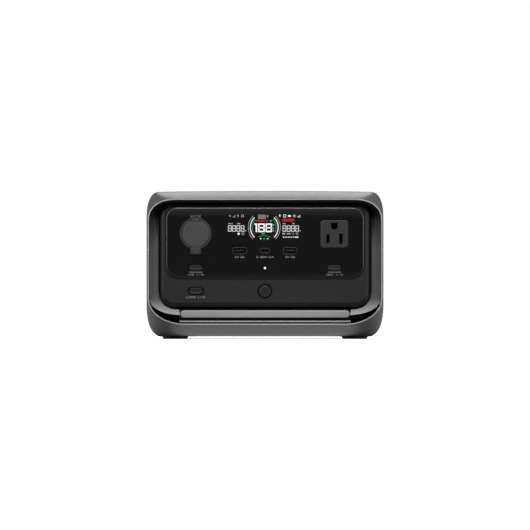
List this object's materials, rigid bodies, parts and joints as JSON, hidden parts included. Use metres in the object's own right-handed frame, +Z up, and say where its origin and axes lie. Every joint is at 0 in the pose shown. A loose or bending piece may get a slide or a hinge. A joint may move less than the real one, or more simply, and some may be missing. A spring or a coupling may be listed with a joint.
{
  "type": "portable power station",
  "caption": "Compact portable power station with sockets, display and light bar on its front and a carry handle at the rear.",
  "frame": {"origin": "on the ground, under the middle of the station with its handle", "axes": "+Z up, the front panel faces -Y, +X to the right of a person who faces the front panel"},
  "size_m": [0.2342, 0.2302, 0.1464],
  "materials": {
    "shell": "satin, fine texture, graphite grey",
    "bezel": "satin, dark grey",
    "panel": "matt, dark grey",
    "gloss": "high gloss, black",
    "button": "satin, dark grey",
    "rubber": "matt",
    "diffuser": "frosted, translucent",
    "lens": "clear, lit from behind",
    "steel": "satin",
    "aluminium": "satin",
    "copper": "enamelled copper wire, taped",
    "ferrite": "matt sintered ferrite",
    "board": "solder mask over fibreglass",
    "black_plastic": "matt, black",
    "cell": "blue film over an aluminium can",
    "screen": "dark, lit symbols behind it"
  },
  "bodies": {
    "station": {"upper_shell": "shell", "lower_shell": "shell", "rear_panel": "shell", "front_bezel": "bezel", "light_tray": "bezel", "front_panel": "panel", "fascia": "gloss", "ac_outlet": "button", "handle_grip": "rubber", "seam_gasket_left": "rubber", "seam_gasket_right": "rubber", "foot_front_left": "rubber", "foot_front_right": "rubber", "foot_rear_left": "rubber", "foot_rear_right": "rubber", "light_diffuser": "diffuser", "dc_light_strip": "lens", "ac_light_strip": "lens", "status_light": "lens", "usb_a_port_left": "steel", "usb_a_port_right": "steel", "usb_c_port": "steel", "cover_hinge_pin": "steel", "input_hinge_pin": "steel", "handle_bracket": "steel", "handle_screw_left": "steel", "handle_screw_right": "steel", "rear_screw_1": "steel", "rear_screw_2": "steel", "rear_screw_3": "steel", "rear_screw_4": "steel", "heat_sink_left": "aluminium", "heat_sink_right": "aluminium", "transformer_coil": "copper", "transformer_core": "ferrite", "front_board": "board", "light_board": "board", "battery_board": "board", "inverter_board": "board", "car_socket": "black_plastic", "ac_inlet": "black_plastic", "dc_inlet": "black_plastic", "carry_handle": "black_plastic", "fan_housing_left": "black_plastic", "fan_housing_right": "black_plastic", "battery_tray": "black_plastic", "battery_cell_1": "cell", "battery_cell_2": "cell", "battery_cell_3": "cell", "battery_cell_4": "cell", "display_module": "screen"},
    "power_button": {"power_button": "button"},
    "dc_button": {"dc_button": "button"},
    "ac_button": {"ac_button": "button"},
    "light_button": {"light_button": "button"},
    "socket_cover": {"car_socket_cover": "rubber"},
    "input_cover": {"input_cover": "shell"},
    "fan_left": {"fan_rotor_left": "black_plastic"},
    "fan_right": {"fan_rotor_right": "black_plastic"}
  },
  "joints": [
    {"name": "power_button_press", "type": "slide", "parent": "station", "child": "power_button", "axis": [0, 1, 0], "range_m": [0, 0.0012], "stiffness_N_per_m": 600},
    {"name": "dc_button_press", "type": "slide", "parent": "station", "child": "dc_button", "axis": [0, 1, 0], "range_m": [0, 0.0012], "stiffness_N_per_m": 600},
    {"name": "ac_button_press", "type": "slide", "parent": "station", "child": "ac_button", "axis": [0, 1, 0], "range_m": [0, 0.0012], "stiffness_N_per_m": 600},
    {"name": "light_button_press", "type": "slide", "parent": "station", "child": "light_button", "axis": [0, 1, 0], "range_m": [0, 0.0012], "stiffness_N_per_m": 600},
    {"name": "socket_cover_hinge", "type": "hinge", "parent": "station", "child": "socket_cover", "pos_m": [-0.0684, -0.1137, 0.1212], "axis": [-1, 0, 0], "range_deg": [0, 120]},
    {"name": "input_cover_hinge", "type": "hinge", "parent": "station", "child": "input_cover", "pos_m": [0, 0.076, 0.0634], "axis": [1, 0, 0], "range_deg": [0, 100]},
    {"name": "fan_left_spin", "type": "hinge", "parent": "station", "child": "fan_left", "pos_m": [-0.058, 0.0616, 0.092], "axis": [0, 1, 0], "continuous": true},
    {"name": "fan_right_spin", "type": "hinge", "parent": "station", "child": "fan_right", "pos_m": [0.058, 0.0616, 0.092], "axis": [0, 1, 0], "continuous": true}
  ]
}
